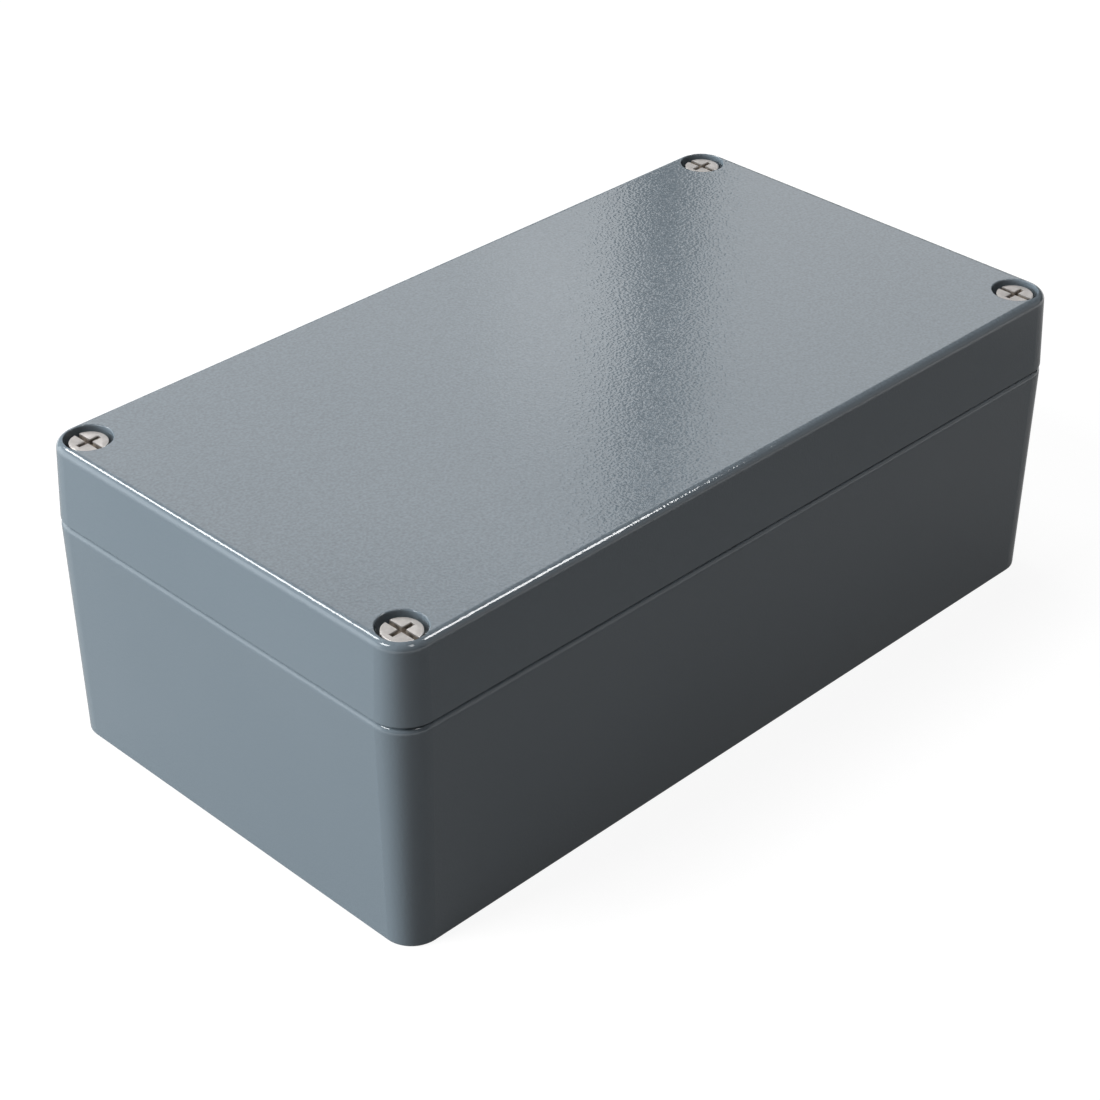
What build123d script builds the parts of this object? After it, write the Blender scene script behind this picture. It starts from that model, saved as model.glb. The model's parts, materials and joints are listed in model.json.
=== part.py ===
from build123d import *

import os

# Die-cast aluminium enclosure: a deep base, a shallow lid, a cord seal between them and four captive lid screws.
# Frame: +X along the long side, +Y along the short side, +Z up. The origin is the centre of the underside.
# Left is -X and front is -Y. All sizes are in millimetres and degrees.

# Outer form, widest at the seam where base and lid meet
LENGTH = 220.0
WIDTH = 120.0
BASE_HEIGHT = 59.0
LID_HEIGHT = 20.0
SEAM_GAP = 0.2
CORNER_RADIUS = 8.5
BASE_DRAFT = 1.2
LID_DRAFT = 2.5
TOP_EDGE_RADIUS = 2.0
BASE_RIM_ROUNDING = 1.6
LID_RIM_ROUNDING = 0.45
UNDERSIDE_ROUNDING = 0.4

# Walls of the two castings
BASE_WALL = 4.0
BASE_FLOOR = 3.2
LID_ROOF = 3.2
INNER_CORNER_RADIUS = 4.0
FLOOR_ROUNDING = 1.5
ROOF_ROUNDING = 1.0

# Seal: a tongue on the base presses a cord that lies in a groove of the lid
SEAL_INSET = 3.1
TONGUE_WIDTH = 1.5
TONGUE_HEIGHT = 1.2
TONGUE_CHAMFER = 0.35
GROOVE_WIDTH = 3.0
GROOVE_DEPTH = 3.2
GROOVE_INNER_LIP = 1.2
CORD_CLEARANCE = 0.05

# Fixing holes, outside the seal and under the lid, for screws that hold the box to a wall
FIXING_END_INSET = 8.0
FIXING_SIDE_INSET = 19.0
FIXING_HOLE = 6.6
FIXING_WELL = 10.6
FIXING_SEAT = 6.0
COLUMN_WALL = 2.8
POCKET_LENGTH = 9.0
POCKET_WIDTH = 9.4
POCKET_DEPTH = 10.0
POCKET_RADIUS = 2.5

# Lid screws
SCREW_INSET = 8.2
COUNTERBORE = 11.2
COUNTERBORE_LIP = 0.3
HEAD_RECESS = 1.0
HEAD_DIAMETER = 9.0
HEAD_HEIGHT = 3.2
HEAD_ROUNDING = 0.25
SLOT_WIDTH = 1.25
SLOT_DEPTH = 1.5
CROSS_BAR_LENGTH = 6.1
THREAD = 5.0
THREAD_ENGAGEMENT = 9.6
THREAD_ABOVE_RIM = 1.6
THREAD_CHAMFER = 0.6
THREAD_CLEARANCE = 0.05
NECK = 3.9
HOLE_PAST_TIP = 2.9
WEB = 2.2
WEB_HOLE = 5.6
RETAINER_POCKET = 9.0
POST_PAD = 10.8

# Retaining ring that rides on a screw's neck and keeps the loosened screw in the lid
RETAINER_DIAMETER = 8.4
RETAINER_THICKNESS = 1.2
RETAINER_CLEARANCE = 0.08

# Bosses on the floor for a mounting plate
PLATE_END_INSET = 26.0
PLATE_SIDE_INSET = 16.0
PLATE_BOSS = 8.5
PLATE_BOSS_HEIGHT = 5.0
PLATE_HOLE = 4.0
PLATE_HOLE_DEPTH = 6.0
BOSS_DRAFT = 2.0

# Earth terminals, one in each casting at the left end
EARTH_INSET = 12.5
EARTH_BOSS = 11.0
BASE_EARTH_BOSS_HEIGHT = 8.0
LID_EARTH_BOSS_HEIGHT = 6.0
EARTH_THREAD = 5.0
EARTH_THREAD_LENGTH = 7.0
EARTH_HOLE_DEPTH = 7.5
EARTH_HEAD = 9.5
EARTH_HEAD_HEIGHT = 3.0
EARTH_HEAD_ROUNDING = 0.6
EARTH_SLOT_WIDTH = 1.2
EARTH_SLOT_DEPTH = 1.4
CLAMP_WASHER = 10.0
CLAMP_WASHER_THICKNESS = 1.0
LOCK_WASHER = 9.0
LOCK_WASHER_THICKNESS = 1.3
LOCK_WASHER_SLIT = 0.9
LOCK_WASHER_SLIT_ANGLE = 25.0
WASHER_HOLE_CLEARANCE = 0.15

# Levels and places worked out from the sizes above
lid_bottom = BASE_HEIGHT + SEAM_GAP
lid_top = lid_bottom + LID_HEIGHT
roof_underside = lid_top - LID_ROOF
tongue_top = BASE_HEIGHT + TONGUE_HEIGHT
groove_top = lid_bottom + GROOVE_DEPTH
head_top = lid_top - HEAD_RECESS
head_seat = head_top - HEAD_HEIGHT
web_underside = head_seat - WEB
thread_top = BASE_HEIGHT + THREAD_ABOVE_RIM
screw_tip = BASE_HEIGHT - THREAD_ENGAGEMENT
seal_line = BASE_WALL - SEAL_INSET
cavity_half_x = LENGTH / 2 - BASE_WALL
cavity_half_y = WIDTH / 2 - BASE_WALL
fixing_spacing_x = LENGTH - 2 * FIXING_END_INSET
fixing_spacing_y = WIDTH - 2 * FIXING_SIDE_INSET
screw_spacing_x = LENGTH - 2 * SCREW_INSET
screw_spacing_y = WIDTH - 2 * SCREW_INSET
plate_spacing_x = LENGTH - 2 * PLATE_END_INSET
plate_spacing_y = WIDTH - 2 * PLATE_SIDE_INSET
column_face_x = fixing_spacing_x / 2 - FIXING_WELL / 2 - COLUMN_WALL
column_face_y = fixing_spacing_y / 2 - FIXING_WELL / 2 - COLUMN_WALL
earth_x = EARTH_INSET - LENGTH / 2
corners = {
    "front_left": (-screw_spacing_x / 2, -screw_spacing_y / 2),
    "front_right": (screw_spacing_x / 2, -screw_spacing_y / 2),
    "rear_left": (-screw_spacing_x / 2, screw_spacing_y / 2),
    "rear_right": (screw_spacing_x / 2, screw_spacing_y / 2),
}


def cavity_outline(grow):
    """Mouth of the open box, grown outward: a rectangle that steps in round the four corner columns."""
    with BuildSketch() as outline:
        Rectangle(2 * cavity_half_x, 2 * column_face_y)
        Rectangle(2 * column_face_x, 2 * cavity_half_y)
        fillet(outline.vertices(), INNER_CORNER_RADIUS)
        offset(amount=grow, kind=Kind.ARC)
    return outline.sketch


def seal_band(width):
    """Closed band of the given width that follows the cavity's mouth at the seal line."""
    with BuildSketch() as band:
        add(cavity_outline(seal_line + width / 2))
        add(cavity_outline(seal_line - width / 2), mode=Mode.SUBTRACT)
    return band.sketch


def hanging_prism(profile, depth):
    """Prism that hangs from the seam and narrows downward by the base's draft."""
    with BuildPart() as prism:
        with BuildSketch(Plane.XY.offset(-BASE_HEIGHT)):
            add(profile)
        extrude(amount=depth, taper=BASE_DRAFT)
        mirror(about=Plane.XY, mode=Mode.REPLACE)
    return prism.part


with BuildSketch() as seam_outline:
    RectangleRounded(LENGTH, WIDTH, CORNER_RADIUS)

# Hollow of the base, drafted like the outside so that the wall keeps its thickness
with BuildPart() as base_hollow:
    add(hanging_prism(cavity_outline(0), BASE_HEIGHT - BASE_FLOOR))
    fillet(base_hollow.faces().sort_by(Axis.Z)[0].edges(), FLOOR_ROUNDING)

# Base casting: drafted shell with corner columns, seal tongue and floor bosses
with BuildPart() as base:
    add(hanging_prism(seam_outline.sketch, BASE_HEIGHT))
    fillet(base.faces().sort_by(Axis.Z)[-1].edges(), BASE_RIM_ROUNDING)
    fillet(base.faces().sort_by(Axis.Z)[0].edges(), UNDERSIDE_ROUNDING)
    add(base_hollow.part, mode=Mode.SUBTRACT)
    with BuildSketch(Plane.XY.offset(BASE_HEIGHT)):
        add(seal_band(TONGUE_WIDTH))
    extrude(amount=TONGUE_HEIGHT)
    chamfer(base.faces().sort_by(Axis.Z)[-1].edges(), TONGUE_CHAMFER)
    with BuildSketch(Plane.XY.offset(BASE_FLOOR)):
        with GridLocations(plate_spacing_x, plate_spacing_y, 2, 2):
            Circle(PLATE_BOSS / 2)
    extrude(amount=PLATE_BOSS_HEIGHT, taper=BOSS_DRAFT)
    with BuildSketch(Plane.XY.offset(BASE_FLOOR)):
        with Locations((earth_x, 0)):
            Circle(EARTH_BOSS / 2)
    extrude(amount=BASE_EARTH_BOSS_HEIGHT, taper=BOSS_DRAFT)
    with Locations((0, 0, BASE_FLOOR + PLATE_BOSS_HEIGHT)):
        with GridLocations(plate_spacing_x, plate_spacing_y, 2, 2):
            Hole(PLATE_HOLE / 2, PLATE_HOLE_DEPTH)
    with Locations((earth_x, 0, BASE_FLOOR + BASE_EARTH_BOSS_HEIGHT)):
        Hole(EARTH_THREAD / 2 + THREAD_CLEARANCE, EARTH_HOLE_DEPTH)
    with Locations((0, 0, BASE_HEIGHT)):
        with GridLocations(fixing_spacing_x, fixing_spacing_y, 2, 2):
            CounterBoreHole(FIXING_HOLE / 2, FIXING_WELL / 2, BASE_HEIGHT - FIXING_SEAT, BASE_HEIGHT)
        with GridLocations(screw_spacing_x, screw_spacing_y, 2, 2):
            Hole(THREAD / 2 + THREAD_CLEARANCE, THREAD_ENGAGEMENT + HOLE_PAST_TIP)

# Hollow of the lid; its mouth leaves the groove and the groove's inner lip standing
with BuildPart() as lid_hollow:
    with BuildSketch(Plane.XY.offset(lid_bottom)):
        add(cavity_outline(seal_line - GROOVE_WIDTH / 2 - GROOVE_INNER_LIP))
    extrude(amount=LID_HEIGHT - LID_ROOF, taper=LID_DRAFT)
    fillet(lid_hollow.faces().sort_by(Axis.Z)[-1].edges(), ROOF_ROUNDING)

# Way of a lid screw through its post: counterbore with a rounded lip, web hole, pocket for the ring
with BuildPart() as screw_way:
    with BuildSketch(Plane.XZ):
        with BuildLine():
            lip = RadiusArc(
                (COUNTERBORE / 2, lid_top - COUNTERBORE_LIP),
                (COUNTERBORE / 2 + COUNTERBORE_LIP, lid_top),
                COUNTERBORE_LIP,
            )
            Polyline(
                lip @ 1,
                (COUNTERBORE / 2 + COUNTERBORE_LIP, lid_top + 1),
                (0, lid_top + 1),
                (0, BASE_HEIGHT),
                (RETAINER_POCKET / 2, BASE_HEIGHT),
                (RETAINER_POCKET / 2, web_underside),
                (WEB_HOLE / 2, web_underside),
                (WEB_HOLE / 2, head_seat),
                (COUNTERBORE / 2, head_seat),
                lip @ 0,
            )
        make_face()
    revolve(axis=Axis.Z)

# Lid casting: drafted cover with screw posts that stand on the base's columns
with BuildPart() as lid:
    with BuildSketch(Plane.XY.offset(lid_bottom)):
        add(seam_outline.sketch)
    extrude(amount=LID_HEIGHT, taper=LID_DRAFT)
    fillet(lid.faces().sort_by(Axis.Z)[-1].edges(), TOP_EDGE_RADIUS)
    fillet(lid.faces().sort_by(Axis.Z)[0].edges(), LID_RIM_ROUNDING)
    add(lid_hollow.part, mode=Mode.SUBTRACT)
    with BuildSketch(Plane.XY.offset(lid_bottom)):
        add(seal_band(GROOVE_WIDTH))
    extrude(amount=GROOVE_DEPTH, mode=Mode.SUBTRACT)
    with BuildSketch(Plane.XY.offset(lid_bottom)):
        with GridLocations(screw_spacing_x, fixing_spacing_y, 2, 2):
            RectangleRounded(POCKET_LENGTH, POCKET_WIDTH, POCKET_RADIUS)
    extrude(amount=POCKET_DEPTH, mode=Mode.SUBTRACT)
    with BuildSketch(Plane.XY.offset(BASE_HEIGHT)):
        with GridLocations(screw_spacing_x, screw_spacing_y, 2, 2):
            Circle(POST_PAD / 2)
    extrude(amount=SEAM_GAP)
    with BuildSketch(Plane.XY.offset(roof_underside - LID_EARTH_BOSS_HEIGHT)):
        with Locations((earth_x, 0)):
            Circle(EARTH_BOSS / 2)
    extrude(amount=LID_EARTH_BOSS_HEIGHT)
    with BuildSketch(Plane.XY.offset(roof_underside - LID_EARTH_BOSS_HEIGHT)):
        with Locations((earth_x, 0)):
            Circle(EARTH_THREAD / 2 + THREAD_CLEARANCE)
    extrude(amount=EARTH_HOLE_DEPTH, mode=Mode.SUBTRACT)
    with Locations(*corners.values()):
        add(screw_way.part, mode=Mode.SUBTRACT)

# Cord seal at the bottom of the lid's groove, pressed by the tongue
with BuildPart() as lid_gasket:
    with BuildSketch(Plane.XY.offset(tongue_top)):
        add(seal_band(GROOVE_WIDTH - 2 * CORD_CLEARANCE))
    extrude(amount=groove_top - tongue_top)

# Lid screw: slotted head with a short cross bar, long thin neck, threaded end
with BuildPart() as lid_screw:
    with BuildSketch(Plane.XZ):
        with BuildLine():
            Polyline(
                (0, screw_tip),
                (THREAD / 2 - THREAD_CHAMFER, screw_tip),
                (THREAD / 2, screw_tip + THREAD_CHAMFER),
                (THREAD / 2, thread_top),
                (NECK / 2, thread_top),
                (NECK / 2, head_seat),
                (HEAD_DIAMETER / 2, head_seat),
                (HEAD_DIAMETER / 2, head_top),
                (0, head_top),
                close=True,
            )
        make_face()
    revolve(axis=Axis.Z)
    fillet(lid_screw.faces().sort_by(Axis.Z)[-1].edges(), HEAD_ROUNDING)
    with BuildSketch(Plane.XY.offset(head_top)):
        Rectangle(SLOT_WIDTH, COUNTERBORE)
        Rectangle(CROSS_BAR_LENGTH, SLOT_WIDTH)
    extrude(amount=-SLOT_DEPTH, mode=Mode.SUBTRACT)

# Ring on the neck, just above the thread; it is wider than the web hole
with BuildPart() as screw_retainer:
    with BuildSketch(Plane.XY.offset(thread_top)):
        Circle(RETAINER_DIAMETER / 2)
        Circle(NECK / 2 + RETAINER_CLEARANCE, mode=Mode.SUBTRACT)
    extrude(amount=RETAINER_THICKNESS)


def clamp_washer(seat):
    """Plain washer that holds an earth wire down on its boss."""
    with BuildPart() as washer:
        with BuildSketch(seat):
            Circle(CLAMP_WASHER / 2)
            Circle(EARTH_THREAD / 2 + WASHER_HOLE_CLEARANCE, mode=Mode.SUBTRACT)
        extrude(amount=CLAMP_WASHER_THICKNESS)
    return washer.part


def lock_washer(seat):
    """Split spring washer between the plain washer and the screw's head."""
    slit_height = LOCK_WASHER_THICKNESS / 2
    with BuildPart() as washer:
        with BuildSketch(seat.offset(CLAMP_WASHER_THICKNESS)):
            Circle(LOCK_WASHER / 2)
            Circle(EARTH_THREAD / 2 + WASHER_HOLE_CLEARANCE, mode=Mode.SUBTRACT)
        extrude(amount=LOCK_WASHER_THICKNESS)
        with Locations(seat.offset(CLAMP_WASHER_THICKNESS + slit_height)):
            with Locations(Location((0, LOCK_WASHER / 2, 0), (0, LOCK_WASHER_SLIT_ANGLE, 0))):
                Box(LOCK_WASHER_SLIT, LOCK_WASHER, 2 * LOCK_WASHER_THICKNESS, mode=Mode.SUBTRACT)
    return washer.part


def earth_screw(seat):
    """Slotted pan-head screw of an earth terminal."""
    under_head = CLAMP_WASHER_THICKNESS + LOCK_WASHER_THICKNESS
    with BuildPart() as screw:
        with BuildSketch(seat.offset(under_head)):
            Circle(EARTH_HEAD / 2)
        extrude(amount=EARTH_HEAD_HEIGHT)
        with BuildSketch(seat.offset(under_head)):
            Circle(EARTH_THREAD / 2)
        extrude(amount=-EARTH_THREAD_LENGTH - under_head)
        crown = screw.edges().filter_by(GeomType.CIRCLE).sort_by(Axis(seat.origin, seat.z_dir))[-1]
        fillet(crown, EARTH_HEAD_ROUNDING)
        with BuildSketch(seat.offset(under_head + EARTH_HEAD_HEIGHT)):
            Rectangle(EARTH_HEAD, EARTH_SLOT_WIDTH)
        extrude(amount=-EARTH_SLOT_DEPTH, mode=Mode.SUBTRACT)
    return screw.part


pieces = {"base": base.part, "lid": lid.part, "lid_gasket": lid_gasket.part}
for corner, place in corners.items():
    for name, piece in (("lid_screw", lid_screw), ("screw_retainer", screw_retainer)):
        with BuildPart() as placed:
            with Locations(place):
                add(piece.part)
        pieces[f"{name}_{corner}"] = placed.part

earth_seats = {
    "base": Plane((earth_x, 0, BASE_FLOOR + BASE_EARTH_BOSS_HEIGHT)),
    "lid": Plane((earth_x, 0, roof_underside - LID_EARTH_BOSS_HEIGHT), z_dir=(0, 0, -1)),
}
for casting, seat in earth_seats.items():
    pieces[f"{casting}_earth_clamp_washer"] = clamp_washer(seat)
    pieces[f"{casting}_earth_lock_washer"] = lock_washer(seat)
    pieces[f"{casting}_earth_screw"] = earth_screw(seat)

os.makedirs("parts", exist_ok=True)
for name, piece in pieces.items():
    piece.label = name
    export_step(piece, f"parts/{name}.step")
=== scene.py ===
# %% [markdown]
# # A die-cast aluminium enclosure
# Two aluminium castings close on a cord seal and are held together by four captive screws. The exact solids
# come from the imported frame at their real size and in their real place, so no piece here is placed by eye.
# What is left to make is what the solids don't carry: the powder coat, bare metal, rubber and plastic, the
# light, and the cut threads of the screws.

# %% Load the solids
import json
import math

import bmesh
import bpy
from mathutils import Matrix, Vector

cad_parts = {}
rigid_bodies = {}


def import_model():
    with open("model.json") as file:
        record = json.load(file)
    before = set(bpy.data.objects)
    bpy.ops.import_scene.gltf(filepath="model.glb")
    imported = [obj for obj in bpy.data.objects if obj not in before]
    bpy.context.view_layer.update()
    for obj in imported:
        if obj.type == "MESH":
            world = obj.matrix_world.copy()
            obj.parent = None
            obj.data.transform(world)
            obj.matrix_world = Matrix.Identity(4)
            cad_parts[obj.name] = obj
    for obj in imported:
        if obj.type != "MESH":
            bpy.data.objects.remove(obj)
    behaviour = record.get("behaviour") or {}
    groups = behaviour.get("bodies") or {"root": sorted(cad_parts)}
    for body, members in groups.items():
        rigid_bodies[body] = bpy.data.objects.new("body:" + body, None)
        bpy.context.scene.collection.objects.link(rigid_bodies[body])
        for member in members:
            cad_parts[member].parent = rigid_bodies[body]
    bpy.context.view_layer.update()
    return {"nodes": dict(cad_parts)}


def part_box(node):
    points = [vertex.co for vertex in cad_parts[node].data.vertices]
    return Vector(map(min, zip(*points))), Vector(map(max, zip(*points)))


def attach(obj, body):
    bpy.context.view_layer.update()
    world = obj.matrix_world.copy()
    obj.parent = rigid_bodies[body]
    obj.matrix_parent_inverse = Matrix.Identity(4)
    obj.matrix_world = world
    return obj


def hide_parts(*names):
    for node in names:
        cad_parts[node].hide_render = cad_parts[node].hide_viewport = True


for leftover in list(bpy.data.objects):
    bpy.data.objects.remove(leftover)
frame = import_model()
bpy.ops.object.select_all(action="DESELECT")
print("solids:", ", ".join(sorted(frame["nodes"])))

# %% [markdown]
# ## Camera
# The box is seen from above over its front left corner. The camera stands about 0.66 m away with a long lens,
# so the verticals lean in only a little. Its place was worked out from the outline of the box, whose size is
# known. Depth of field stays off, because the whole box is sharp.

# %% Camera
bpy.ops.object.camera_add(
    location=(-0.388893, -0.379958, 0.382421),
    rotation=[math.radians(angle) for angle in (56.7515, -0.0387, -45.0567)],
)
camera = bpy.context.object
camera.name = "camera"
camera.data.sensor_width = 36.0
camera.data.lens = 86.75
camera.data.clip_start = 0.01
bpy.context.scene.camera = camera
bpy.context.scene.view_settings.view_transform = "Standard"
print("camera distance in m:", round(camera.location.length, 3))

# %% [markdown]
# ## Helpers for shader nodes
# A finish is a small graph of nodes. These helpers add a node, set its plain values and link its inputs in
# one call, so that each finish below reads as a list of steps. `wire` takes a value or another node's output
# for each input. `calculate` and `vector` do the same for the two maths nodes.

# %% Helpers for shader nodes
def wire(tree, kind, inputs=None, **settings):
    """Add a node, set its properties, then give each named input a value or a link."""
    node = tree.nodes.new(kind)
    for key, value in settings.items():
        setattr(node, key, value)
    for key, value in (inputs or {}).items():
        if isinstance(value, bpy.types.NodeSocket):
            tree.links.new(value, node.inputs[key])
        else:
            node.inputs[key].default_value = value
    return node


def calculate(tree, operation, *values):
    """A maths node's result."""
    return wire(tree, "ShaderNodeMath", dict(enumerate(values)), operation=operation).outputs[0]


def vector(tree, operation, *values):
    """A vector maths node's result, a number for a length and a vector otherwise."""
    node = wire(tree, "ShaderNodeVectorMath", dict(enumerate(values)), operation=operation)
    return node.outputs["Value" if operation == "LENGTH" else "Vector"]


def split(tree, direction):
    """A vector's three numbers, named X, Y and Z."""
    return wire(tree, "ShaderNodeSeparateXYZ", {"Vector": direction}).outputs


def ramp(tree, value, low, high, to_low=0.0, to_high=1.0):
    """Stretch a range of values smoothly onto another range."""
    inputs = {"Value": value, "From Min": low, "From Max": high, "To Min": to_low, "To Max": to_high}
    return wire(tree, "ShaderNodeMapRange", inputs, interpolation_type="SMOOTHSTEP").outputs["Result"]


def blend_colours(tree, factor, first, second):
    """Mix two colours; a colour is four numbers or another node's output."""
    return wire(tree, "ShaderNodeMix", {0: factor, 6: first, 7: second}, data_type="RGBA").outputs[2]


def blend_numbers(tree, factor, first, second):
    """Mix two numbers by a factor."""
    return wire(tree, "ShaderNodeMix", {0: factor, 2: first, 3: second}, data_type="FLOAT").outputs[0]


# %% [markdown]
# ## Shared effects
# Several finishes share an effect, so each effect is a node group with named inputs and outputs, built once.
# The first is the skin of a powder coat. Powder melts into a film that isn't quite level: low, winding swells
# under a millimetre across, which shopfloors call orange peel. Smooth noise gives the swells, and its
# distortion makes them wind. A second, much broader noise drifts the shade over the casting.

# %% Node group helper
def new_group(name, inputs, outputs):
    """An empty shader node group with number, vector or colour sockets."""
    group = bpy.data.node_groups.new(name, "ShaderNodeTree")
    for label, kind, value in inputs:
        socket = group.interface.new_socket(name=label, in_out="INPUT", socket_type=f"NodeSocket{kind}")
        socket.default_value = value
    for label, kind in outputs:
        group.interface.new_socket(name=label, in_out="OUTPUT", socket_type=f"NodeSocket{kind}")
    source = group.nodes.new("NodeGroupInput")
    result = group.nodes.new("NodeGroupOutput")
    return group, source.outputs, result.inputs


# %% Orange peel
SWELL_WIDTH = 0.62  # millimetres
orange_peel, given, made = new_group(
    "orange peel",
    [("Position", "Vector", (0, 0, 0)), ("Swell", "Float", SWELL_WIDTH)],
    [("Height", "Float"), ("Shade", "Float")],
)
per_metre = calculate(orange_peel, "DIVIDE", 1000.0, given["Swell"])
swells = wire(
    orange_peel, "ShaderNodeTexNoise",
    {"Vector": given["Position"], "Scale": per_metre, "Detail": 0.0, "Distortion": 0.35},
)
orange_peel.links.new(swells.outputs["Fac"], made["Height"])
drift = wire(orange_peel, "ShaderNodeTexNoise", {"Vector": given["Position"], "Scale": 14.0, "Detail": 2.0})
orange_peel.links.new(ramp(orange_peel, drift.outputs["Fac"], 0.3, 0.7), made["Shade"])
print("group:", orange_peel.name, len(orange_peel.nodes), "nodes")

# %% [markdown]
# The second effect tells the painted outside of a casting from its bare inside. Enclosures are masked and
# sprayed closed up, so the film covers the outer faces and thins out over the rim. The mask measures how deep
# a point lies behind the drafted outer wall, as the distance to a rounded rectangle that narrows away from
# the level where the casting is widest.

# %% Depth behind the outer wall
CORNER_RADIUS = 0.0085
CORNER_CENTRE = (0.1015, 0.0515, 0.0)
NO_HEIGHT = (1.0, 1.0, 0.0)
wall_depth, given, made = new_group(
    "depth behind outer wall",
    [("Position", "Vector", (0, 0, 0)), ("Widest Level", "Float", 0.059), ("Slope", "Float", 0.0209)],
    [("Depth", "Float")],
)
flat = vector(wall_depth, "MULTIPLY", vector(wall_depth, "ABSOLUTE", given["Position"]), NO_HEIGHT)
height = split(wall_depth, given["Position"])["Z"]
from_widest = calculate(wall_depth, "SUBTRACT", height, given["Widest Level"])
draw_in = calculate(wall_depth, "MULTIPLY", calculate(wall_depth, "ABSOLUTE", from_widest), given["Slope"])
past_centre = vector(wall_depth, "SUBTRACT", flat, CORNER_CENTRE)
round_part = vector(wall_depth, "LENGTH", vector(wall_depth, "MAXIMUM", past_centre, (0.0, 0.0, 0.0)))
past = split(wall_depth, past_centre)
flat_part = calculate(wall_depth, "MINIMUM", calculate(wall_depth, "MAXIMUM", past["X"], past["Y"]), 0.0)
outward = calculate(wall_depth, "ADD", calculate(wall_depth, "ADD", round_part, flat_part), draw_in)
wall_depth.links.new(calculate(wall_depth, "SUBTRACT", CORNER_RADIUS, outward), made["Depth"])
print("group:", wall_depth.name, len(wall_depth.nodes), "nodes")

# %% [markdown]
# The third effect is a distance from the axis of the nearest lid screw. The four screws stand symmetrically,
# so the position is folded into one corner first, and one finish serves all four.

# %% Distance from the nearest screw axis
SCREW_AXIS = (0.1018, 0.0518, 0.0)
screw_axis, given, made = new_group(
    "distance from screw axis",
    [("Position", "Vector", (0, 0, 0))],
    [("Distance", "Float")],
)
folded = vector(screw_axis, "MULTIPLY", vector(screw_axis, "ABSOLUTE", given["Position"]), NO_HEIGHT)
from_axis = vector(screw_axis, "LENGTH", vector(screw_axis, "SUBTRACT", folded, SCREW_AXIS))
screw_axis.links.new(from_axis, made["Distance"])
print("group:", screw_axis.name, len(screw_axis.nodes), "nodes")

# %% [markdown]
# The fourth effect is the mottled, slightly grainy look of bare cast or plated metal: broad clouds for the
# colour and fine grain for the surface. Both sizes are given in millimetres.

# %% Metal grain
metal_grain, given, made = new_group(
    "metal grain",
    [("Position", "Vector", (0, 0, 0)), ("Cloud Size", "Float", 12.0), ("Grain Size", "Float", 0.35)],
    [("Clouds", "Float"), ("Grain", "Float")],
)
clouds = wire(
    metal_grain, "ShaderNodeTexNoise",
    {"Vector": given["Position"], "Scale": calculate(metal_grain, "DIVIDE", 1000.0, given["Cloud Size"]),
     "Detail": 3.0, "Roughness": 0.6},
)
grains = wire(
    metal_grain, "ShaderNodeTexNoise",
    {"Vector": given["Position"], "Scale": calculate(metal_grain, "DIVIDE", 1000.0, given["Grain Size"]),
     "Detail": 2.0},
)
metal_grain.links.new(ramp(metal_grain, clouds.outputs["Fac"], 0.3, 0.7), made["Clouds"])
metal_grain.links.new(grains.outputs["Fac"], made["Grain"])
print("group:", metal_grain.name, len(metal_grain.nodes), "nodes")


# %% [markdown]
# ## From effects to finishes
# Each finish below starts from an empty Principled BSDF that reads Object coordinates, so a pattern stays on
# the piece when the piece moves. Three helpers make such a material, place a node group in it and put the
# material on a solid from the frame.

# %% Material helpers
def new_material(name):
    """A material with its tree, its Principled BSDF and its object coordinates."""
    material = bpy.data.materials.new(name)
    material.use_nodes = True
    tree = material.node_tree
    shader = tree.nodes["Principled BSDF"]
    position = tree.nodes.new("ShaderNodeTexCoord").outputs["Object"]
    return material, tree, shader, position


def use_group(tree, group, **inputs):
    """Place a node group; underscores in an input's name stand for spaces."""
    node = tree.nodes.new("ShaderNodeGroup")
    node.node_tree = group
    for key, value in inputs.items():
        key = key.replace("_", " ").title()
        if isinstance(value, bpy.types.NodeSocket):
            tree.links.new(value, node.inputs[key])
        else:
            node.inputs[key].default_value = value
    return node.outputs


def dress(node, material):
    """Give a node from the frame its finish; its mesh stays as it is."""
    frame["nodes"][node].material_slots[0].material = material


# %% [markdown]
# ## Powder-coated casting
# The outside is a silver-grey glossy powder coat; the inside is bare cast aluminium, a little blotchy from
# the die. One material shows both, mixed by the spray mask, because each casting is one piece of metal. The
# mask has an uneven edge just behind the rim. A level inside the base's floor, or inside the lid's roof, parts
# the painted outer face from the bare inner one. The lid's counterbores are sprayed too, down to their seats.

# %% Spray mask
SPRAY_EDGE = (0.0013, 0.0017)
SPRAY_UNEVENNESS = 0.0004
LEVEL_BLEND = 0.0003
COUNTERBORE_EDGE = (0.0058, 0.006)
COUNTERBORE_SEAT = (0.0749, 0.0751)


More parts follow.
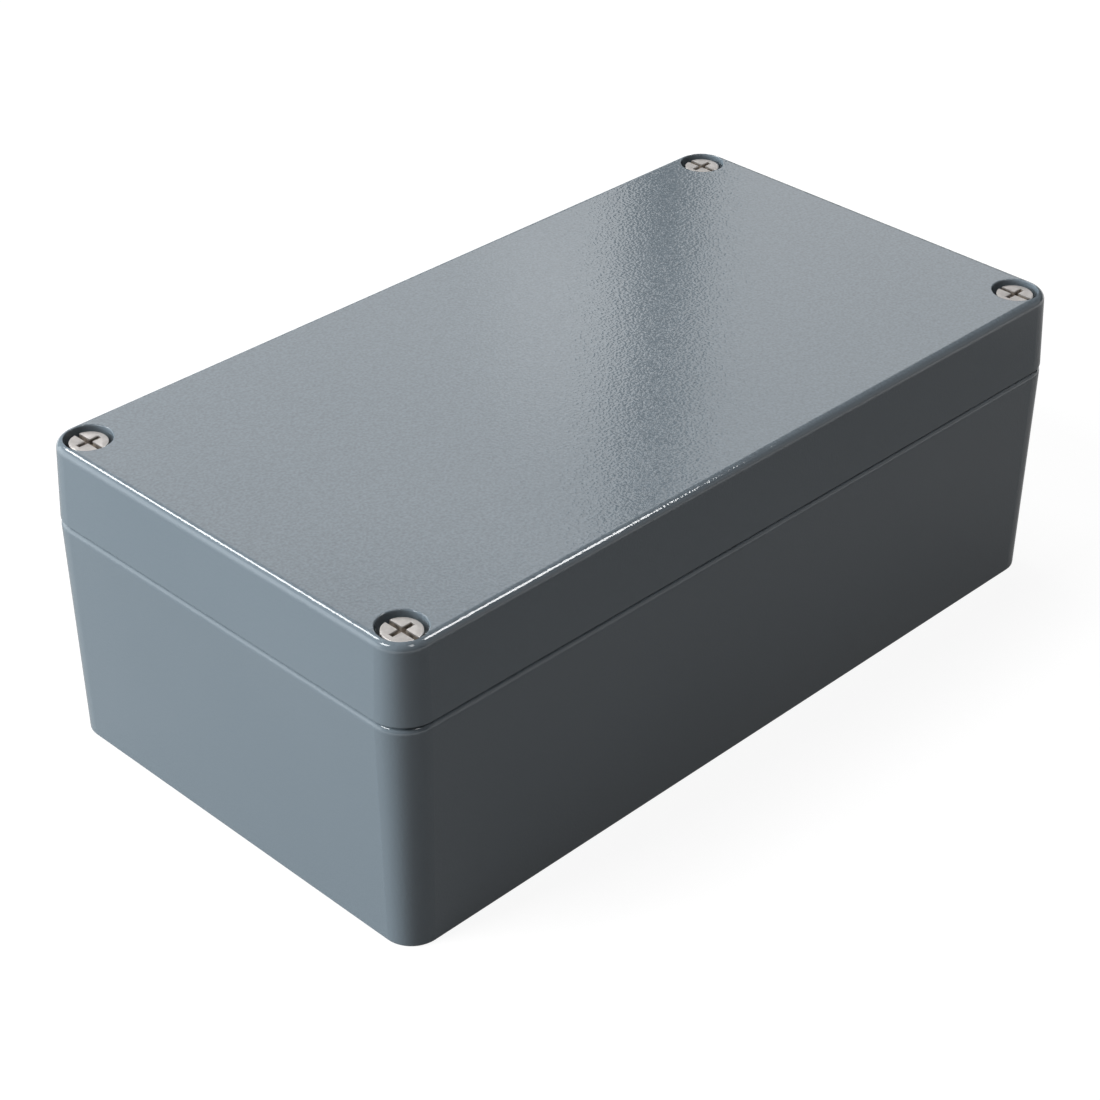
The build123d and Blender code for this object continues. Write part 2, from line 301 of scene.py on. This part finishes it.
def bare_metal_mask(tree, position, clouds, casting):
    """One where a casting is bare inside, and nought where it is painted."""
    depth = use_group(
        tree, wall_depth, position=position, widest_level=casting["widest_level"], slope=casting["slope"]
    )["Depth"]
    height = split(tree, position)["Z"]
    uneven = calculate(tree, "MULTIPLY", calculate(tree, "SUBTRACT", clouds, 0.5), SPRAY_UNEVENNESS)
    behind_wall = ramp(tree, calculate(tree, "ADD", depth, uneven), *SPRAY_EDGE)
    low, high = casting["skin_level"] - LEVEL_BLEND, casting["skin_level"] + LEVEL_BLEND
    if casting["painted_above"]:
        below_skin = ramp(tree, height, low, high, 1.0, 0.0)
        from_axis = use_group(tree, screw_axis, position=position)["Distance"]
        near_axis = ramp(tree, from_axis, *COUNTERBORE_EDGE, 1.0, 0.0)
        in_counterbore = calculate(tree, "MULTIPLY", near_axis, ramp(tree, height, *COUNTERBORE_SEAT))
        elsewhere = calculate(tree, "SUBTRACT", 1.0, in_counterbore)
        inside_level = calculate(tree, "MULTIPLY", below_skin, elsewhere)
    else:
        inside_level = ramp(tree, height, low, high)
    return calculate(tree, "MULTIPLY", behind_wall, inside_level)


print("painted rim in mm:", [1000 * edge for edge in SPRAY_EDGE])

# %% [markdown]
# The orange peel is mostly a bump, which breaks up what the gloss mirrors. Broad lamps wash a bump out,
# though, and on the real lid the swells still read, as light and shade on a face that looks up. So there that
# light and shade is painted into the paint's colour, lighter on the swells and darker between them, and this
# painted shading fades away on faces that look sideways. Base and lid differ only in where the mask lies, so
# one function makes the two materials.

# %% Powder-coated casting
PAINT = (0.157, 0.189, 0.216, 1.0)
PAINT_DRIFT = (0.164, 0.196, 0.223, 1.0)
PAINTED_SHADING_CONTRAST = 0.42
LOOKS_UP = (0.6, 0.98)
BARE_METAL = (0.56, 0.56, 0.55, 1.0)
BARE_DRIFT = (0.47, 0.47, 0.46, 1.0)
PAINT_ROUGHNESS, METAL_ROUGHNESS = 0.05, 0.5
SWELL_HEIGHT = 0.000023
PAINT_IOR = 1.45


def coated_casting(name, casting):
    """Paint outside and bare aluminium inside, for one of the two castings."""
    material, tree, shader, position = new_material(name)
    peel = use_group(tree, orange_peel, position=position)
    grain = use_group(tree, metal_grain, position=position)
    bare = bare_metal_mask(tree, position, grain["Clouds"], casting)
    facing = split(tree, tree.nodes["Texture Coordinate"].outputs["Normal"])["Z"]
    # Painted light and shade: on faces that look up, the paint's colour is made lighter and darker with the
    # swells.
    painted_shading_amount = calculate(tree, "MULTIPLY", ramp(tree, facing, *LOOKS_UP), PAINTED_SHADING_CONTRAST)
    painted_swell_shading = calculate(tree, "MULTIPLY_ADD", calculate(tree, "SUBTRACT", peel["Height"], 0.5), painted_shading_amount, 1.0)
    paint = vector(tree, "SCALE", blend_colours(tree, peel["Shade"], PAINT, PAINT_DRIFT))
    tree.links.new(painted_swell_shading, paint.node.inputs["Scale"])
    metal = blend_colours(tree, grain["Clouds"], BARE_METAL, BARE_DRIFT)
    tree.links.new(blend_colours(tree, bare, paint, metal), shader.inputs["Base Color"])
    tree.links.new(bare, shader.inputs["Metallic"])
    tree.links.new(blend_numbers(tree, bare, PAINT_ROUGHNESS, METAL_ROUGHNESS), shader.inputs["Roughness"])
    relief = blend_numbers(tree, bare, peel["Height"], grain["Grain"])
    bump = wire(tree, "ShaderNodeBump", {"Strength": 1.0, "Distance": SWELL_HEIGHT, "Height": relief})
    tree.links.new(bump.outputs["Normal"], shader.inputs["Normal"])
    shader.inputs["IOR"].default_value = PAINT_IOR
    return material


base_casting = {"widest_level": 0.059, "slope": 0.02095, "skin_level": 0.002, "painted_above": False}
lid_casting = {"widest_level": 0.0592, "slope": 0.04366, "skin_level": 0.0772, "painted_above": True}
dress("base", coated_casting("coated base", base_casting))
dress("lid", coated_casting("coated lid", lid_casting))
print("coated:", frame["nodes"]["base"].material_slots[0].name, frame["nodes"]["lid"].material_slots[0].name)

# %% [markdown]
# ## Seal, rings and earth terminals
# The seal is a soft foamed cord, matt and almost black, with tiny cells. Cells are what a Voronoi texture
# draws, so its distance goes into the bump.

# %% Seal
foam, tree, shader, position = new_material("foamed seal")
cells = wire(tree, "ShaderNodeTexVoronoi", {"Vector": position, "Scale": 2600.0})
tone = wire(tree, "ShaderNodeTexNoise", {"Vector": position, "Scale": 300.0, "Detail": 2.0})
tree.links.new(
    blend_colours(tree, tone.outputs["Fac"], (0.018, 0.018, 0.019, 1.0), (0.034, 0.034, 0.036, 1.0)),
    shader.inputs["Base Color"],
)
shader.inputs["Roughness"].default_value = 0.85
pores = cells.outputs["Distance"]
bump = wire(tree, "ShaderNodeBump", {"Strength": 0.7, "Distance": 0.0001, "Height": pores})
tree.links.new(bump.outputs["Normal"], shader.inputs["Normal"])
dress("lid_gasket", foam)
print("seal finish:", foam.name)

# %% [markdown]
# The rings that keep the screws in the lid are natural nylon: a warm white with a waxy sheen that isn't the
# same all over.

# %% Retaining rings
nylon, tree, shader, position = new_material("natural nylon")
tone = wire(tree, "ShaderNodeTexNoise", {"Vector": position, "Scale": 500.0, "Detail": 2.0})
tree.links.new(
    blend_colours(tree, tone.outputs["Fac"], (0.66, 0.65, 0.60, 1.0), (0.72, 0.71, 0.66, 1.0)),
    shader.inputs["Base Color"],
)
tree.links.new(ramp(tree, tone.outputs["Fac"], 0.3, 0.7, 0.42, 0.55), shader.inputs["Roughness"])
rings = [node for node in frame["nodes"] if node.startswith("screw_retainer")]
for ring in rings:
    dress(ring, nylon)
print("rings dressed:", len(rings))

# %% [markdown]
# The earth screws and washers are zinc plated, with the faint blue cast and cloudy bloom that zinc has. The
# metal grain group gives both, in a smaller size than on the castings.

# %% Earth terminals
zinc, tree, shader, position = new_material("zinc plating")
grain = use_group(tree, metal_grain, position=position, cloud_size=4.0, grain_size=0.2)
tree.links.new(
    blend_colours(tree, grain["Clouds"], (0.60, 0.63, 0.67, 1.0), (0.70, 0.71, 0.72, 1.0)),
    shader.inputs["Base Color"],
)
tree.links.new(ramp(tree, grain["Clouds"], 0.0, 1.0, 0.26, 0.4), shader.inputs["Roughness"])
shader.inputs["Metallic"].default_value = 1.0
bump = wire(tree, "ShaderNodeBump", {"Strength": 0.4, "Distance": 0.00001, "Height": grain["Grain"]})
tree.links.new(bump.outputs["Normal"], shader.inputs["Normal"])
terminals = [node for node in frame["nodes"] if "_earth_" in node]
for terminal in terminals:
    dress(terminal, zinc)
print("terminal pieces dressed:", len(terminals))

# %% [markdown]
# ## Lid screws
# A lid screw is turned from stainless bar: a flat head, a long thin neck that lets it drop free of the base
# while the ring keeps it in the lid, and an M5 thread at the end. The plain solid has no thread, so the screw
# is modelled again here. The head starts as a cylinder, and the neck and the thread's core are inset and
# extruded down from it.

# %% Measure the solid screw
def mm(value):
    """Millimetres as metres."""
    return value / 1000


low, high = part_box("lid_screw_front_left")
head_top, tip = high.z, low.z
head_radius = (high.x - low.x) / 2
head_height, rim_bevel = mm(3.2), mm(0.25)
neck_radius, thread_top = mm(1.95), mm(60.6)
thread_radius, root_radius, pitch = mm(2.5), mm(2.03), mm(0.8)
point_radius, point_height = mm(1.5), mm(0.6)
ROUND_STEPS = 72
SAME_LEVEL = 1e-6
print("head radius, length in mm:", round(1000 * head_radius, 2), round(1000 * (head_top - tip), 2))


# %% Edit helpers
def only(piece):
    """Select one object and make it active."""
    bpy.ops.object.select_all(action="DESELECT")
    piece.select_set(True)
    bpy.context.view_layer.objects.active = piece


def pick(piece, kind, test):
    """In edit mode, select just the faces or edges that pass the test; say how many they are."""
    bpy.ops.mesh.select_mode(type=kind)
    bpy.ops.mesh.select_all(action="DESELECT")
    mesh = bmesh.from_edit_mesh(piece.data)
    chosen = [part for part in (mesh.faces if kind == "FACE" else mesh.edges) if test(part)]
    for part in chosen:
        part.select_set(True)
    bmesh.update_edit_mesh(piece.data)
    return len(chosen)


def apply_modifier(piece, kind, **settings):
    """Add a modifier with its settings and apply it."""
    only(piece)
    modifier = piece.modifiers.new(kind.lower(), kind)
    for key, value in settings.items():
        setattr(modifier, key, value)
    bpy.ops.object.modifier_apply(modifier=modifier.name)


# %% Head, neck and core
bpy.ops.mesh.primitive_cylinder_add(
    vertices=ROUND_STEPS, radius=head_radius, depth=head_height, location=(0, 0, head_top - head_height / 2)
)
lid_screw = bpy.context.object
lid_screw.name = "lid_screw"
bpy.ops.object.transform_apply(location=True)
bpy.ops.object.mode_set(mode="EDIT")
pick(lid_screw, "FACE", lambda face: face.normal.z < -0.9)
bpy.ops.mesh.inset(thickness=head_radius - neck_radius)
lengths = [(head_top - head_height) - thread_top, 0.0, (thread_top - tip) - point_height, point_height]
radii = [neck_radius, root_radius, root_radius, point_radius]
radius_now = neck_radius
for length, radius in zip(lengths, radii):
    bpy.ops.mesh.extrude_region_move(TRANSFORM_OT_translate={"value": (0, 0, -length)})
    bpy.ops.transform.resize(value=(radius / radius_now, radius / radius_now, 1), center_override=(0, 0, 0))
    radius_now = radius
rim = pick(
    lid_screw, "EDGE", lambda edge: all(abs(corner.co.z - head_top) < SAME_LEVEL for corner in edge.verts)
)
bpy.ops.mesh.bevel(offset=rim_bevel, segments=3, affect="EDGES")
bpy.ops.object.mode_set(mode="OBJECT")
print("rim edges bevelled:", rim, "faces:", len(lid_screw.data.polygons))

# %% [markdown]
# The head has a slot right across it and a short cross bar, so either a flat or a cross driver turns it. Two
# blocks cut them by a boolean difference, as a milling cutter would. The cut edges then get a hair of a
# bevel, because a perfectly sharp edge never catches the light.

# %% Slot and cross bar
slot_width, slot_depth, slot_length, bar_length = mm(1.25), mm(1.5), mm(12), mm(6.1)
hair_bevel, sharp_edge = mm(0.06), math.radians(50)
cutters = []
for size_x, size_y in ((slot_width, slot_length), (bar_length, slot_width)):
    bpy.ops.mesh.primitive_cube_add(size=1, location=(0, 0, head_top))
    cutter = bpy.context.object
    cutter.scale = (size_x, size_y, 2 * slot_depth)
    bpy.ops.object.transform_apply(location=True, scale=True)
    cutters.append(cutter)
for cutter in cutters:
    apply_modifier(lid_screw, "BOOLEAN", operation="DIFFERENCE", solver="EXACT", object=cutter)
    bpy.data.objects.remove(cutter)
apply_modifier(lid_screw, "BEVEL", width=hair_bevel, segments=2, limit_method="ANGLE", angle_limit=sharp_edge)
print("faces with the slot cut:", len(lid_screw.data.polygons))

# %% [markdown]
# The thread is one ridge that winds round the core. Its cross-section is drawn once, as the 60 degree tooth
# of a metric thread, and the Screw modifier sweeps it along the helix. The swept ridge is open at its two
# ends, so these are filled, and then its faces are turned outwards.

# %% Thread ridge
turns = math.ceil((thread_top - tip) / pitch) + 1
foot_radius, crest_radius = mm(1.9), mm(2.6)
half_foot, half_crest = mm(0.38), mm(0.05)
bpy.ops.mesh.primitive_plane_add(size=1, location=(0, 0, 0))
ridge = bpy.context.object
ridge.name = "ridge"
tooth = [
    (foot_radius, -half_foot), (crest_radius, -half_crest),
    (crest_radius, half_crest), (foot_radius, half_foot),
]
for corner, (radius, rise) in zip((0, 1, 3, 2), tooth):
    ridge.data.vertices[corner].co = (radius, 0, tip - pitch + rise)
apply_modifier(
    ridge, "SCREW", screw_offset=pitch, iterations=turns, steps=40, render_steps=40, use_merge_vertices=False
)
bpy.ops.object.mode_set(mode="EDIT")
bpy.ops.mesh.select_all(action="SELECT")
bpy.ops.mesh.remove_doubles(threshold=1e-7)
bpy.ops.mesh.fill_holes(sides=4)
bpy.ops.mesh.normals_make_consistent(inside=False)
bpy.ops.object.mode_set(mode="OBJECT")
print("ridge turns:", turns, "faces:", len(ridge.data.polygons))

# %% [markdown]
# A turned blank with chamfered ends, cut away by a boolean intersection, trims the ridge the way a thread
# really runs out. The ridge's foot lies a little inside the core, so joining the two leaves no gap, and it
# spares the long helix a second boolean.

# %% Trim the thread and join it to the screw
runout, smooth_edge = mm(0.55), math.radians(32)
bpy.ops.mesh.primitive_cylinder_add(
    vertices=ROUND_STEPS, radius=thread_radius,
    depth=thread_top - tip, location=(0, 0, (thread_top + tip) / 2),
)
blank = bpy.context.object
bpy.ops.object.transform_apply(location=True)
bpy.ops.object.mode_set(mode="EDIT")
pick(blank, "EDGE", lambda edge: abs(edge.verts[0].co.z - edge.verts[1].co.z) < SAME_LEVEL)
bpy.ops.mesh.bevel(offset=runout, segments=1, affect="EDGES")
bpy.ops.object.mode_set(mode="OBJECT")
apply_modifier(ridge, "BOOLEAN", operation="INTERSECT", solver="EXACT", object=blank)
bpy.data.objects.remove(blank)
levels = [round(1000 * corner.co.z, 2) for corner in ridge.data.vertices]
print("ridge from, to in mm:", min(levels), max(levels))
only(lid_screw)
ridge.select_set(True)
bpy.ops.object.join()
bpy.ops.object.shade_smooth_by_angle(angle=smooth_edge)
print("faces of a finished screw:", len(lid_screw.data.polygons))

# %% [markdown]
# The steel is plain stainless. Its turned head shows faint rings round the axis, which spread a highlight
# sideways, and the slots are painted dull and dark brown, as painted shade in the recess. The rings and the
# painted shade both read the place on the screw, so they need no picture.

# %% Turned steel
CLEAN_STEEL = ((0.47, 0.45, 0.435, 1.0), (0.54, 0.52, 0.505, 1.0))
SLOT_PAINTED_SHADE = ((0.06, 0.05, 0.042, 1.0), (0.34, 0.29, 0.24, 1.0))
BELOW_HEAD_TOP = (0.0777, 0.07805)
ABOVE_HEAD_FOOT = (0.0752, 0.0754)
steel, tree, shader, position = new_material("turned stainless steel")
from_axis = use_group(tree, screw_axis, position=position)["Distance"]
grain = use_group(tree, metal_grain, position=position, cloud_size=1.4, grain_size=0.25)
turning = wire(
    tree, "ShaderNodeTexNoise",
    {"W": from_axis, "Scale": 9000.0, "Detail": 2.0}, noise_dimensions="1D",
).outputs["Fac"]
height = split(tree, position)["Z"]
# Painted shade: the slot is coloured dark brown and made dull, standing in for the shade in the recess.
in_slot = calculate(
    tree, "MULTIPLY", ramp(tree, height, *BELOW_HEAD_TOP, 1.0, 0.0), ramp(tree, height, *ABOVE_HEAD_FOOT)
)
clean = blend_colours(tree, grain["Clouds"], *CLEAN_STEEL)
painted_slot_shade = blend_colours(tree, grain["Clouds"], *SLOT_PAINTED_SHADE)
clean_roughness = ramp(tree, turning, 0.3, 0.7, 0.5, 0.6)
tree.links.new(blend_colours(tree, in_slot, clean, painted_slot_shade), shader.inputs["Base Color"])
tree.links.new(blend_numbers(tree, in_slot, 1.0, 0.3), shader.inputs["Metallic"])
tree.links.new(blend_numbers(tree, in_slot, clean_roughness, 0.7), shader.inputs["Roughness"])
bump = wire(tree, "ShaderNodeBump", {"Strength": 0.25, "Distance": 0.00001, "Height": turning})
tree.links.new(bump.outputs["Normal"], shader.inputs["Normal"])
print("screw finish:", steel.name)

# %% [markdown]
# The screw is modelled once, on the middle axis. Each corner gets a copy with its own mesh, moved to the
# place of the solid screw that it replaces, and the copy rides on that screw's body.

# %% A screw in each corner
lid_screw.data.materials.clear()
lid_screw.data.materials.append(steel)
for corner in ("front_left", "front_right", "rear_left", "rear_right"):
    low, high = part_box(f"lid_screw_{corner}")
    screw = bpy.data.objects.new(f"turned_screw_{corner}", lid_screw.data.copy())
    bpy.context.scene.collection.objects.link(screw)
    screw.data.transform(Matrix.Translation(((low.x + high.x) / 2, (low.y + high.y) / 2, 0)))
    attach(screw, f"screw_{corner}")
    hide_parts(f"lid_screw_{corner}")
bpy.data.objects.remove(lid_screw)

# %% [markdown]
# ## Floor
# The box stands on a plain white ground that keeps a faint shadow. To the camera the ground glows a little
# short of white, and a dark matt grey under the glow adds the rest, so only the rest is missing where the box
# shades it. In reflections its glow is made dim close to the box, a painted shadow where the walls mirror it,
# and bright further out. Light that bounces off it meets only the matt grey, so the side away from the lamps
# stays dark.

# %% Floor
FOOTPRINT = (0.11, 0.06, 0.0)
PAINTED_SHADOW_UNTIL, BRIGHT_FROM = 0.12, 0.3
PAINTED_SHADOW_GLOW, BRIGHT_GLOW = 0.27, 1.25
SEEN_GLOW = 0.9
MATT_GREY = (0.18, 0.18, 0.18, 1)
bpy.ops.mesh.primitive_plane_add(size=8, location=(0, 0, -0.0002))
floor = bpy.context.object
floor.name = "floor"
ground = bpy.data.materials.new("white ground")
ground.use_nodes = True
tree = ground.node_tree
tree.nodes.remove(tree.nodes["Principled BSDF"])
path = tree.nodes.new("ShaderNodeLightPath").outputs
place = vector(tree, "ABSOLUTE", tree.nodes.new("ShaderNodeTexCoord").outputs["Object"])
outside = vector(tree, "MAXIMUM", vector(tree, "SUBTRACT", place, FOOTPRINT), (0, 0, 0))
from_box = vector(tree, "LENGTH", outside)
# Painted shadow: what the gloss mirrors of the ground glows dimmer near the box.
mirrored = calculate(
    tree, "MULTIPLY",
    calculate(tree, "MAXIMUM", path["Is Glossy Ray"], path["Is Transmission Ray"]),
    ramp(tree, from_box, PAINTED_SHADOW_UNTIL, BRIGHT_FROM, PAINTED_SHADOW_GLOW, BRIGHT_GLOW),
)
strength = calculate(tree, "MULTIPLY_ADD", path["Is Camera Ray"], SEEN_GLOW, mirrored)
glow = wire(tree, "ShaderNodeEmission", {"Color": (1, 1, 1, 1), "Strength": strength})
matt = wire(tree, "ShaderNodeBsdfDiffuse", {"Color": MATT_GREY})
both = wire(tree, "ShaderNodeAddShader", {0: glow.outputs[0], 1: matt.outputs[0]})
tree.links.new(both.outputs[0], tree.nodes["Material Output"].inputs["Surface"])
floor.data.materials.append(ground)
print("floor side in m:", floor.dimensions.x)

# %% [markdown]
# ## World
# The world is the room around the box. The camera sees it white. It lights the box only faintly, and what the
# gloss mirrors of it is almost as dark, so the bright shapes on the paint come from lamps that can be placed.

# %% World
ROOM_LIGHT = 0.06
ROOM_MIRRORED = 0.09
world = bpy.data.worlds.new("studio")
bpy.context.scene.world = world
world.use_nodes = True
tree = world.node_tree
path = tree.nodes.new("ShaderNodeLightPath").outputs
seen = calculate(tree, "MAXIMUM", path["Is Camera Ray"], path["Is Transmission Ray"])
mirrored = calculate(tree, "MULTIPLY", path["Is Glossy Ray"], ROOM_MIRRORED)
brightness = calculate(
    tree, "ADD", calculate(tree, "MULTIPLY_ADD", seen, 1.0 - ROOM_LIGHT, ROOM_LIGHT), mirrored
)
room = wire(tree, "ShaderNodeBackground", {"Color": (1, 1, 1, 1), "Strength": brightness})
tree.links.new(room.outputs[0], tree.nodes["World Output"].inputs["Surface"])
print("world:", world.name)

# %% [markdown]
# ## Lamps
# Every lamp is a flat rectangle that faces the lid. It is set by its radiance, which is how bright it looks
# in a mirror, so a bigger lamp of the same radiance gives more light and the same reflection. In Blender an
# area lamp's power is pi times its area times its radiance. A lamp can be kept out of reflections or off matt
# surfaces, as a photographer does with flags and cards.

# %% Softbox
LID = (0, 0, 0.079)
WHITE = (1.0, 1.0, 1.0)


def softbox(name, place, sideways, size, radiance, colour=WHITE, on_matt=True, in_gloss=True):
    """A rectangular lamp that faces the lid; sideways is the direction of its width, as seen from the box."""
    bpy.ops.object.light_add(type="AREA", location=place)
    lamp = bpy.context.object
    lamp.name = name
    lamp.data.shape = "RECTANGLE"
    lamp.data.size, lamp.data.size_y = size
    lamp.data.energy = math.pi * size[0] * size[1] * radiance
    lamp.data.color = colour
    lamp.visible_camera = False
    lamp.visible_diffuse = on_matt
    lamp.visible_glossy = in_gloss
    back = (Vector(place) - Vector(LID)).normalized()
    across = Vector(sideways) - back * back.dot(Vector(sideways))
    across.normalize()
    turned = Matrix((across, back.cross(across), back)).transposed()
    lamp.rotation_mode = "QUATERNION"
    lamp.rotation_quaternion = turned.to_quaternion()
    return name


# %% [markdown]
# A broad, slightly blue key lamp on the left lights that end, and a fill lamp overhead lifts the lid. Neither
# shows in the gloss. The opposite holds for two cards, one to the left and one to the front right: they only
# show in the gloss, where they draw out the roundings of the edges and the seam.

# %% Key, fill and cards
KEY_BLUE, CARD_BLUE = (0.88, 0.965, 1.0), (0.93, 0.98, 1.0)
broad = [
    softbox("left key", (-1.83, 1.53, 0.42), (1, 1.2, 0), (0.9, 0.75), 34.2, KEY_BLUE, in_gloss=False),
    softbox("fill lamp", (0.0, 0.55, 1.3), (1, 0, 0), (0.6, 0.6), 5.0, in_gloss=False),
    softbox("left card", (-0.95, 0.95, 0.34), (1, 1, 0), (1.6, 0.66), 2.6, CARD_BLUE, on_matt=False),
    softbox("front card", (0.8, -0.89, 0.31), (0.89, 0.8, 0), (1.1, 0.6), 0.6, on_matt=False),
]
print("broad lamps:", broad)

# %% [markdown]
# Four small bright lamps stand high around the box, one beyond each edge of the lid. The rounded top edges
# and the rims of the counterbores catch them as thin bright lines. The two at the rear and right would light
# the lid too much, so they only show in the gloss.

# %% Overhead and edge lamps
small = [
    softbox("left overhead lamp", (-0.87, 0.24, 1.02), (0, 1, 0), (0.4, 0.4), 18.0),
    softbox("front overhead lamp", (-0.13, -0.76, 1.13), (1, 0, 0), (0.28, 0.28), 8.8),
    softbox("rear edge lamp", (-0.26, 0.75, 0.88), (1, 0, 0), (0.28, 0.4), 20.0, on_matt=False),
    softbox("right edge lamp", (0.5, -0.33, 0.88), (1, 0, 0), (0.25, 0.32), 20.0, on_matt=False),
]
print("small lamps:", small)

# %% [markdown]
# Tall panels stand behind the box, and the glossy lid mirrors them. A narrow gap between the rear and the
# right panel shows as the dark band across the lid. The rear panel leans a little, so the band widens towards
# the front. A dimmer panel above it darkens the lid's front left edge, and a small faint one at its end
# brightens the paint beside the band.

# %% Mirrored panels
panels = [
    softbox("rear panel", (0.9655, 1.387, 0.909), (0.793, -0.609, 0.083), (0.75, 0.604), 1.68),
    softbox("rear panel top", (0.858, 1.233, 1.259), (0.793, -0.609, 0), (0.736, 0.19), 1.25),
    softbox("rear panel end", (1.19, 1.172, 0.97), (0.793, -0.609, 0), (0.14, 0.16), 0.45),
    softbox("right panel", (1.418, 0.876, 0.96), (0.571, -0.821, 0), (0.525, 0.72), 1.65),
]
print("panels:", panels)
